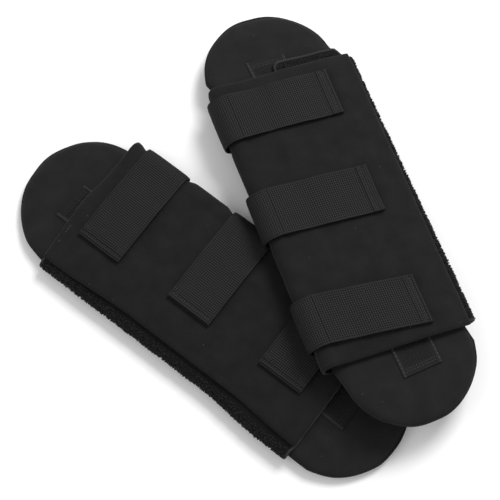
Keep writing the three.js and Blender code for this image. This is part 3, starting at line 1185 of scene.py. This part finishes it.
# Heights for blends of the shell and of the straps' roots between the grip's body and the flap's,
# and a lean for a blend's direction. They are passed to blended, which does not use them.
SHELL_BLEND = Vector((5.5, 14.0)) * MM
ROOT_BLEND = Vector((4.4, 14.7)) * MM
BLEND_LEAN = 0.23 * MM
# How far from its middle a strap's root still holds the spine in, and how softly that ends.
HOLD_REACH = 27 * MM
HOLD_EDGE = 8 * MM
SPINE_BUMPS = ((0.35, 22, 7),)


def curl(distance):
    """What a turned edge does at that distance from the cut: how far it comes in and down."""
    if distance >= HEM_LENGTH:
        return 0.0, 0.0
    angle = (HEM_LENGTH - distance) / HEM_BEND
    return (HEM_LENGTH - distance) - HEM_BEND * math.sin(angle), HEM_BEND * (1 - math.cos(angle))


def strap_hold(grip, y):
    """1 where a strap's root holds the spine in, 0 between the straps."""
    hold = 0.0
    for middle, _, _ in LIES[grip]["straps"]:
        hold = max(hold, smooth((HOLD_REACH - abs(y - middle * MM)) / HOLD_EDGE))
    return hold


def shell_belly(grip, y, round_fold):
    """How far the shell stands out at the spine."""
    hold = strap_hold(grip, y)
    belly = LIES[grip]["spine_belly"] * MM * (1 - LIES[grip]["spine_hold"] * hold)
    belly += bumps(SPINE_BUMPS, y, 0) * (1 - hold)
    return belly * math.sin(math.pi * round_fold)


def shell_place(grip, u, v):
    """Where a point of the flat shell goes."""
    s = u + SHELL_ACROSS / 2
    spot, out, round_fold = fold_path(s, EDGE_X, SPINE_CENTRE, SHELL_BEND, -1)
    x, z, y = spot.x, spot.y, v
    pull, drop = curl(SHELL_ALONG_HALF - abs(v))
    y -= math.copysign(pull, v)
    if round_fold == 1:
        edge_pull, edge_drop = curl(SHELL_ACROSS - s)
        x -= edge_pull + open_inset(grip, x, v)
        z += sag(grip, x, y) - max(drop, edge_drop)
    elif round_fold:
        inward = drop - shell_belly(grip, v, round_fold)
        x -= out.x * inward
        z -= out.y * inward
    else:
        z += drop
    lift = smooth((z - 5 * MM) / (10 * MM))
    return Vector((x, y + slide_along(grip, x, v) * lift, z))


def make_shell(grip):
    """The shell of one grip."""
    cloth_sheet(grip, "shell", SHELL_CLOTH, (SHELL_ACROSS, 2 * SHELL_ALONG_HALF),
                (1.9 * MM, 1.9 * MM), lambda u, v: shell_place(grip, u, v),
                thickness=SHELL, rounded=0.25 * MM,
                stands_for=["wrap_back_shell", "wrap_spine_fold", "flap_shell"],
                blend=(f"{grip}_grip", f"{grip}_flap", (SPINE_CENTRE.x, 0, SHELL_BLEND.x),
                       (SPINE_CENTRE.x + BLEND_LEAN, 0, SHELL_BLEND.y)))


for grip in GRIPS:
    make_shell(grip)
print("shell cloth", round(SHELL_ACROSS / MM), "mm across")

# %% [markdown]
# ## The pile
# The inside of the wrap is loop pile. One sheet lies under the tongue, turns up round its open
# side and ends as the under flap on top of it. A second sheet lines the flap. Real pile is a
# mass of little loops, so the sheet's surface is pushed in and out, and where it shows it also
# grows tufts.

# %% Pile path
PILE_START = -50 * MM
PILE_HALF = WRAP_HALF - 1 * MM
PILE_FLAT = FOLD_CENTRE.x - PILE_START
PILE_TURN = math.pi * FOLD_BEND
PILE_EDGE = 0.3 * MM
LINING_INSET = 1.8 * MM
# The stretch in which the pile settles from its fold onto the tongue.
PILE_SETTLE = 9 * MM
PILE_LOOPS = ((0.35, 1.9, 21), (0.5, 9, 5))
LINING_LOOPS = ((0.3, 2.2, 31),)
# Loops that lie under the flap are pressed down to that height.
PRESSED_LOOP = 0.12 * MM


def pile_across(grip):
    """How wide a grip's pile sheet is, flat."""
    return PILE_FLAT + PILE_TURN + FOLD_CENTRE.x - LIES[grip]["under_inner"] * MM


def pile_place(grip, u, v, lumps=True):
    """Where a point of the flat pile sheet goes, and which way is out."""
    lie = LIES[grip]
    s = u + pile_across(grip) / 2
    spot, out, round_fold = fold_path(s, PILE_START, FOLD_CENTRE, FOLD_BEND, 1)
    x, z, y = spot.x, spot.y, v
    far, near = (value * MM for value in lie["pile_bulge"])
    bulge = near + (far - near) * smooth((v + PILE_HALF) / (2 * PILE_HALF))
    bulge += lie["pile_tip"] * MM * smooth((v - 35 * MM) / (60 * MM))
    if round_fold == 1:
        past = smooth((y - 70 * MM) / (43 * MM)) * (lie["under_far"] * MM - PILE_HALF)
        past *= smooth((FOLD_CENTRE.x - x) / PILE_SETTLE)
        drift = lie["under_drift"] * MM * (FOLD_CENTRE.x - x) / (55 * MM)
        y += past + drift * smooth((y + 114 * MM) / (228 * MM))
        top = UNDER_FLAP_Z + sag(grip, x, y)
        z += (top - z) * smooth((FOLD_CENTRE.x - x) / PILE_SETTLE)
    at_fold = smooth((x - 44 * MM) / PILE_SETTLE)
    x += bulge * at_fold
    reach = lie["pile_reach"][0] if v > 0 else -lie["pile_reach"][1]
    y += reach * MM * at_fold * smooth((abs(v) - 80 * MM) / (33 * MM))
    lump = 0.0
    if round_fold and lumps:
        lump = bumps(PILE_LOOPS, u, v)
        if round_fold == 1:
            lump = min(lump, PRESSED_LOOP)
    out = Vector((out.x, 0, out.y))
    return Vector((x, y, z)) + out * lump, out


# %% Pile sheets


def pile_blend(grip):
    """The two bodies and the two points that the pile's pieces hand to blended, which does not
    bend them.
    """
    return (f"{grip}_grip", f"{grip}_under_flap", (FOLD_CENTRE.x, 0, FOLD_CENTRE.y),
            (FOLD_CENTRE.x - BLEND_LEAN, 0, FOLD_CENTRE.y + FOLD_BEND))


def make_pile(grip):
    """The pile sheet with the under flap, and the flap's lining."""
    cloth_sheet(grip, "pile", PILE_CLOTH, (pile_across(grip), 2 * PILE_HALF),
                (1.35 * MM, 1.4 * MM), lambda u, v: pile_place(grip, u, v)[0],
                thickness=PILE, rounded=PILE_EDGE,
                stands_for=["wrap_back_lining", "wrap_side_fold", "under_flap"],
                blend=pile_blend(grip))

    def lining_place(u, v):
        lump = min(0.0, bumps(LINING_LOOPS, u, v))
        x = u - open_inset(grip, u, v)
        return Vector((x, v + slide_along(grip, u, v), LINING_Z + sag(grip, x, v) + lump))

    size = (2 * (EDGE_X - LINING_INSET), 2 * (WRAP_HALF - LINING_INSET))
    cloth_sheet(grip, "lining", PILE_CLOTH, size, (1.6 * MM, 1.6 * MM), lining_place,
                thickness=FLAP_LINING, rounded=PILE_EDGE,
                stands_for=["flap_lining"],
                body=f"{grip}_flap")


for grip in GRIPS:
    make_pile(grip)
    print(grip, "pile cloth", round(pile_across(grip) / MM), "mm across")

# %% [markdown]
# ## Tufts and bound edges
# Where the pile turns up at the open side, and where the under flap looks out past the flap,
# its loops are seen one by one. Short bent tufts are copied there with a fixed seed. Their yarn
# is painted lighter than the pile cloth, as light caught by the loops, and along the open side
# they stop just past the fold, so the darker pile cloth under the flap's edge is painted shade.
# The under flap's cut edge is bound with a narrow roll of a greyer cloth, which shows as a pale
# line; its grey is partly painted highlight on the rolled edge.

# %% Tufts


def tuft_shape():
    """A tuft: a tapered stem of yarn that bends over."""
    bm, rim = stem(3, 0.5 * MM, 0.36 * MM, 0.8 * MM, 0.1 * MM)
    verts, rim, middle = drawn_out(bm, rim, 0.35, 0.42)
    bmesh.ops.scale(bm, vec=(0.5, 0.5, 0.5), space=Matrix.Translation(-middle), verts=verts)
    return capped(bm, rim, "tuft")


TUFT = tuft_shape()
SIDE_TUFTS = 4600
END_TUFTS = 2200


def make_tufts(grip):
    """Tufts on the open side's fold and on the under flap's bare end."""
    dice = random.Random(f"{grip} tufts")
    across = pile_across(grip)
    spots = []
    # The side tufts stop 1.5 mm past the fold, so the darker pile cloth under the flap's edge is
    # painted shade.
    for _ in range(SIDE_TUFTS):
        s = dice.uniform(PILE_FLAT - 3 * MM, PILE_FLAT + PILE_TURN + 1.5 * MM)
        spots.append((s - across / 2, dice.uniform(-PILE_HALF, PILE_HALF)))
    for _ in range(END_TUFTS):
        s = dice.uniform(PILE_FLAT + PILE_TURN, across)
        spots.append((s - across / 2, dice.uniform(0.8, 0.978) * PILE_HALF))
    matrices = []
    for index, (u, v) in enumerate(spots):
        point, out = pile_place(grip, u, v)
        lean = Vector([dice.uniform(-0.7, 0.7) for _ in range(3)])
        heading = Vector([dice.uniform(-1, 1) for _ in range(3)])
        size = dice.uniform(0.8, 1.5)
        if index < SIDE_TUFTS or point.y > WRAP_HALF - 1.5 * MM:
            matrices.append(facing(point + out * 0.85 * MM, out + lean, heading, size))
    tufts = finished(scattered(TUFT, matrices), f"{grip}_tufts", PILE_YARN_PAINTED_LIGHT, grip)
    blended(tufts, grip, *pile_blend(grip))
    return len(matrices)


for grip in GRIPS:
    print(grip, "tufts", make_tufts(grip))

# %% Bound edge of the pile
BINDING_RADIUS = 1.1 * MM
BINDING_RISE = 0.5 * MM
BINDING_STEP = 2 * MM


def make_binding(grip):
    """The roll of cloth round the under flap and down the pile's fold at both ends."""
    across = pile_across(grip)
    first, last = PILE_FLAT - 12 * MM - across / 2, across / 2
    steps = int((last - first) / BINDING_STEP)
    corner = 5 * MM
    line = [(first + (last - corner - first) * k / steps, PILE_HALF) for k in range(steps)]
    for k in range(7):
        angle = math.radians(90 - 15 * k)
        line.append((last - corner + corner * math.cos(angle),
                     PILE_HALF - corner + corner * math.sin(angle)))
    along = int(PILE_HALF / BINDING_STEP)
    line += [(last, (PILE_HALF - corner) * (1 - k / along)) for k in range(1, along + 1)]
    line += [(u, -v) for u, v in reversed(line[:-1])]
    places = [pile_place(grip, u, v, lumps=False) for u, v in line]
    points = [point + BINDING_RISE * out for point, out in places]
    binding = finished(bead(points, BINDING_RADIUS), f"{grip}_binding", BINDING_CLOTH_AND_HIGHLIGHT, grip)
    blended(binding, grip, *pile_blend(grip))
    return len(points)


for grip in GRIPS:
    print(grip, "binding knots", make_binding(grip))

# %% [markdown]
# ## Webbing straps
# A strap is flat webbing. Its root is sewn to the back of the wrap and comes round the spine
# onto the flap, where its free part goes on to a folded end. The root and the free part are two
# pieces that meet on the flap, in the valley between two ribs, and lap there by half a
# millimetre. All lengths in the weave are counted from that valley.
# The ribs are part of the mesh, because they show against the light and in the outline.

# %% Weave
RIB_HEIGHT = 0.5 * MM
WEB_EDGE = 0.22 * MM
WEB_SHARP = 80
WEB_STEP_ALONG = RIB_PITCH / 4
WEB_STEP_ACROSS = CORD_PITCH / 3
ROOT_ARC = math.pi * WEBBING_BEND
ROOT_SHARE = 1 + (TAB_START_X - SPINE_CENTRE.x) / ROOT_ARC
ROOT_PLAIN = ROOT_REACH - SPINE_CENTRE.x + ROOT_ARC * ROOT_SHARE
ROOT_STEPS = 400
print("ribs in a strap's plain root", round(ROOT_PLAIN / RIB_PITCH))


def rib(s, v, strength=1.0):
    """The height of the weave at a place on the webbing, level in the selvages."""
    wave = 0.5 - 0.5 * math.cos(2 * math.pi * s / RIB_PITCH)
    cord = 0.5 - 0.5 * math.cos(2 * math.pi * v / CORD_PITCH)
    inside = smooth((WEBBING_HALF - 1.0 * MM - abs(v)) / (0.7 * MM))
    return RIB_HEIGHT * strength * inside * (wave * (0.45 + 0.55 * cord) - 0.5)


# %% Strap roots
BACK_STITCH_Z = 0.28 * MM
# The box of stitches that holds a root on the back: from where to where, and half its width.
BOX_START = 6 * MM
BOX_END = 35 * MM
BOX_HALF = 15 * MM


def root_middle(grip, s):
    """A root's middle at length s along its plain path, the outward direction there, and how
    far round the spine it is."""
    spot, out, round_fold = fold_path(s, ROOT_REACH, SPINE_CENTRE, WEBBING_BEND, -1)
    share = min(1.0, round_fold / ROOT_SHARE)
    lift = LIES[grip]["strap_belly"] * MM * max(0.0, math.sin(math.pi * share)) ** 1.5
    lift += LIES[grip]["loop"] * MM * smooth((share - 0.4) / 0.55)
    return spot + out * lift, out, share


def root_table(grip):
    """Rows of how much webbing there is up to a point, and the plain length of the path there.
    The webbing stands out from the plain path, so it is longer."""
    table = [(0.0, 0.0)]
    before = root_middle(grip, 0.0)[0]
    for step in range(1, ROOT_STEPS + 1):
        s = ROOT_PLAIN * step / ROOT_STEPS
        spot = root_middle(grip, s)[0]
        table.append((table[-1][0] + (spot - before).length, s))
        before = spot
    return table


ROOT_TABLES = {grip: root_table(grip) for grip in GRIPS}


def root_place(grip, middle, u, v):
    """Where a point of a strap's root goes."""
    table = ROOT_TABLES[grip]
    length = table[-1][0]
    along = u + length / 2
    row = min(ROOT_STEPS, max(1, bisect_left(table, (along, 0.0))))
    (a, plain_a), (b, plain_b) = table[row - 1], table[row]
    spot, out, share = root_middle(grip, plain_a + (plain_b - plain_a) * (along - a) / (b - a))
    lift = rib(along - length, v)
    lift -= 0.35 * MM * (abs(v) / WEBBING_HALF) ** 4 * math.sin(math.pi * share)
    return Vector((spot.x + out.x * lift, middle + v, spot.y + out.y * lift))


def make_root(grip, number, middle):
    """A strap's root, sewn to the wrap's back with a crossed box of stitches."""
    length = ROOT_TABLES[grip][-1][0]
    cloth_sheet(grip, f"strap_root_web_{number}", WEBBING_YARN, (length, 2 * WEBBING_HALF),
                (WEB_STEP_ALONG, WEB_STEP_ACROSS), lambda u, v: root_place(grip, middle, u, v),
                thickness=WEBBING, rounded=WEB_EDGE, sharp=WEB_SHARP,
                stands_for=[f"strap_root_{number}"],
                blend=(f"{grip}_grip", f"{grip}_flap", (0, 0, ROOT_BLEND.x),
                       (0, 0, ROOT_BLEND.y)), shift=-length / 2)

    corners = [Vector((x, middle + y)) for x, y in
               ((BOX_END, -BOX_HALF), (BOX_END, BOX_HALF), (BOX_START, BOX_HALF),
                (BOX_START, -BOX_HALF))]
    lines = list(zip(corners, corners[1:] + corners[:1]))
    lines += [(corners[0], corners[2]), (corners[1], corners[3])]
    matrices = []
    for start, end in lines:
        matrices += stitch_row(start, end, STITCH_LENGTH, lambda x, y: BACK_STITCH_Z)
    small_parts(grip, f"strap_box_{number}", STITCH, matrices, DARK_THREAD, "grip")


# %% Strap free parts
END_FOLD = 7.5 * MM
END_BEND = 0.85 * MM
TAB_RISE = 1.5 * MM
HEM_STITCH = 2.7 * MM
HEM_PUFF = 0.5 * MM
HEM_GROOVE = 0.5 * MM
LOOSE = (0.9, 0.5, 1.1)
LOOP_REACH = 32 * MM
TAB_LAP = 0.45 * MM


def strap_row(grip, number):
    """A strap's middle along the spine, how far across it reaches, and its drift, in metres."""
    return [value * MM for value in LIES[grip]["straps"][number - 1]]


def tab_top(grip, number, x, y):
    """The height of the middle of a strap's free part at a point."""
    end = strap_row(grip, number)[1]
    rise = TAB_RISE * smooth((x - (end - 58 * MM)) / (16 * MM))
    loose = LOOSE[number - 1] * MM
    loose *= math.sin(math.pi * smooth((x - TAB_START_X) / (end - TAB_START_X)))
    loop = LIES[grip]["loop"] * MM * (1 - smooth((x - TAB_START_X) / LOOP_REACH))
    return TAB_Z + sag(grip, x, y) + rise + loose + loop


def tab_slide(grip, number, x):
    """How far along the grip a strap has drifted at x."""
    _, reach, drift = strap_row(grip, number)
    return drift * max(0.0, x - TAB_START_X) / (reach - TAB_START_X)


def tab_place(grip, number, u, v):
    """Where a point of a strap's free part goes; its last part is folded under."""
    middle, reach, _ = strap_row(grip, number)
    run = reach - TAB_START_X
    s = u + (run + math.pi * END_BEND + END_FOLD - TAB_LAP) / 2
    to_end = run - s
    weave = rib(s, v, 1 - 0.5 * smooth((8.4 * MM - to_end) / (1.6 * MM)))
    if s <= run:
        x = TAB_START_X + s
        y = middle + v + tab_slide(grip, number, x)
        puff = HEM_PUFF * smooth((8.2 * MM - to_end) / (1.1 * MM))
        groove = HEM_GROOVE * math.exp(-((to_end - HEM_STITCH) / (0.8 * MM)) ** 2)
        return Vector((x, y, tab_top(grip, number, x, y) + weave + puff - groove))
    around = (s - run) / END_BEND
    if around <= math.pi:
        y = middle + v + tab_slide(grip, number, reach)
        level = tab_top(grip, number, reach, y) + HEM_PUFF * (1 - around / math.pi)
        out = END_BEND + weave * math.sin(around)
        return Vector((reach + out * math.sin(around), y,
                       level - END_BEND + END_BEND * math.cos(around)))
    x = reach - (s - run - math.pi * END_BEND)
    y = middle + v + tab_slide(grip, number, x)
    return Vector((x, y, tab_top(grip, number, x, y) - 2 * END_BEND))


# %% Tab pieces


def tab_stitches(grip, number):
    """Matrices for the stitches across a strap's hem and in its corners."""
    middle, reach, _ = strap_row(grip, number)

    def on_top(x, y):
        return tab_top(grip, number, x, y) + WEBBING / 2 + 0.02 * MM

    def spot(to_end, v):
        x = reach - to_end
        return Vector((x, middle + v + tab_slide(grip, number, x)))

    edge = WEBBING_HALF - 2 * MM
    rows = stitch_row(spot(HEM_STITCH, -edge), spot(HEM_STITCH, edge), 2.5 * MM,
                      lambda x, y: on_top(x, y) + 0.05 * MM)
    for side in (-1, 1):
        for to_end in (4.4, 5.6, 6.8):
            rows += stitch_row(spot(to_end * MM, side * (edge - 4.6 * MM)),
                               spot(to_end * MM, side * (edge + 0.6 * MM)), 1.7 * MM,
                               lambda x, y: on_top(x, y) + 0.6 * MM, 25)
    return rows


def make_tab(grip, number):
    """A strap's free part with its folded and stitched end."""
    length = TAB_LAP + strap_row(grip, number)[1] - TAB_START_X + math.pi * END_BEND + END_FOLD
    cloth_sheet(grip, f"strap_web_{number}", WEBBING_YARN, (length, 2 * WEBBING_HALF),
                (WEB_STEP_ALONG, WEB_STEP_ACROSS), lambda u, v: tab_place(grip, number, u, v),
                thickness=WEBBING, rounded=WEB_EDGE, sharp=WEB_SHARP,
                stands_for=[f"strap_tab_{number}"],
                blend=(f"{grip}_flap", f"{grip}_strap_{number}",
                       (TAB_START_X + 0.5 * MM, 0, 0), (TAB_START_X + 9 * MM, 0, 0)),
                shift=length / 2 - TAB_LAP)
    small_parts(grip, f"strap_stitches_{number}", STITCH, tab_stitches(grip, number),
                DARK_THREAD, f"strap_{number}")


# %% Hook patches under the straps
PATCH = 0.7 * MM
PATCH_LENGTH = 36 * MM
PATCH_HALF = 16.5 * MM
PATCH_SETBACK = 0.8 * MM
PATCH_GAP = 0.2 * MM
PATCH_HOOK_PITCH = 2.1 * MM
PATCH_HOOK_SIZE = 0.7
PATCH_HOOK_DROP = 0.25 * MM


def patch_place(grip, number, u, v):
    """Where a point of the hook patch under a strap goes."""
    middle, reach, _ = strap_row(grip, number)
    x = reach - END_FOLD - PATCH_SETBACK - PATCH_LENGTH / 2 + u
    y = middle + v + tab_slide(grip, number, x)
    return Vector((x, y, tab_top(grip, number, x, y) - WEBBING / 2 - PATCH_GAP - PATCH / 2))


def make_patch(grip, number):
    """The hook tape under a strap's free end, its hooks pointing down at the flap."""
    cloth_sheet(grip, f"strap_patch_{number}", HOOK_GROUND, (PATCH_LENGTH, 2 * PATCH_HALF),
                (1.4 * MM, 1.4 * MM), lambda u, v: patch_place(grip, number, u, v),
                thickness=PATCH, rounded=TAPE_EDGE,
                stands_for=[f"strap_hook_{number}"],
                body=f"{grip}_strap_{number}")

    dice = random.Random(f"{grip} patch {number}")
    columns = centred(int((2 * PATCH_HALF - 4 * MM) / PATCH_HOOK_PITCH), PATCH_HOOK_PITCH)
    rows = centred(int((PATCH_LENGTH - 2 * MM) / PATCH_HOOK_PITCH), PATCH_HOOK_PITCH)
    hooks = []
    for row, u in enumerate(rows):
        for v in columns:
            heading = Vector((1 if row % 2 else -1, dice.uniform(-0.3, 0.3), 0))
            point = patch_place(grip, number, u, v) - Vector((0, 0, PATCH_HOOK_DROP))
            hooks.append(facing(point, Vector((0, 0, -1)), heading, PATCH_HOOK_SIZE))
    small_parts(grip, f"strap_hooks_{number}", HOOK, hooks, HOOK_NYLON, f"strap_{number}")


for grip in GRIPS:
    for number, (middle, _, _) in enumerate(LIES[grip]["straps"], start=1):
        make_root(grip, number, middle * MM)
        make_tab(grip, number)
        make_patch(grip, number)
print("root webbing", [round(ROOT_TABLES[grip][-1][0] / MM, 1) for grip in GRIPS], "mm long")

# %% [markdown]
# ## Closing stitches
# The wrap was sewn inside out and turned, and the gap that it was turned through is closed with
# a few stitches that show at the flap's end.

# %% Closing stitches
# The start and the end of each row, across and along, in millimetres.
CLOSING = {"lower": (((23, -115.0), (31, -114.8)), ((37, -114.6), (39.6, -114.5))),
           "upper": (((38, -113.6), (48, -114.2)),)}


def make_closing(grip):
    """Short rows of stitches at the flap's near end."""

    def on_flap(x, y):
        return SHELL_Z + sag(grip, x, y) + SHELL / 2 - 0.05 * MM

    rows = []
    for start, end in CLOSING[grip]:
        rows += stitch_row(Vector(start) * MM, Vector(end) * MM, 2.6 * MM, on_flap, 12)
    small_parts(grip, "closing_stitches", STITCH, rows, THREAD, "flap")
    return len(rows)


for grip in GRIPS:
    print(grip, "closing stitches", make_closing(grip))

# %% [markdown]
# ## Floor and light
# The floor is a plain pale sheet that keeps the pair's soft shadow. A soft lamp stands high
# behind the pair on the right, a weaker one on the left, and an even white world fills the rest.
# Together they light a level surface so that its colour renders about as it is written.

# %% Floor
FLOOR_HALF = 6.0
FLOOR_GREY = 0.93
bm = bmesh.new()
bmesh.ops.create_grid(bm, x_segments=1, y_segments=1, size=FLOOR_HALF)
floor = new_object("floor", kept_mesh(bm, "floor"))
floor_material, _, floor_shader = new_finish("floor", 1.0, 0.0)
floor_shader.inputs["Base Color"].default_value = (FLOOR_GREY, FLOOR_GREY, FLOOR_GREY, 1)
floor.data.materials.append(floor_material)
print("floor", 2 * FLOOR_HALF, "m wide")

# %% Lamps and world
WORLD_STRENGTH = 0.62


def soft_lamp(name, place, size, energy):
    """A square area lamp at that place, aimed at the pair."""
    data = bpy.data.lights.new(name, "AREA")
    data.shape = "SQUARE"
    data.size = size
    data.energy = energy
    lamp = new_object(name, data)
    lamp.location = place
    lamp.rotation_euler = (-Vector(place)).to_track_quat("-Z", "Y").to_euler()


soft_lamp("key", (0.55, 0.8, 1.2), 0.6, 18.0)
soft_lamp("fill", (-1.1, -0.2, 1.2), 1.0, 4.0)
world = bpy.data.worlds.new("studio")
bpy.context.scene.world = world
world.use_nodes = True
background = world.node_tree.nodes["Background"]
background.inputs["Color"].default_value = (1, 1, 1, 1)
background.inputs["Strength"].default_value = WORLD_STRENGTH
bpy.context.scene.view_settings.view_transform = "Standard"
print("lamps", [lamp.name for lamp in bpy.data.lights])
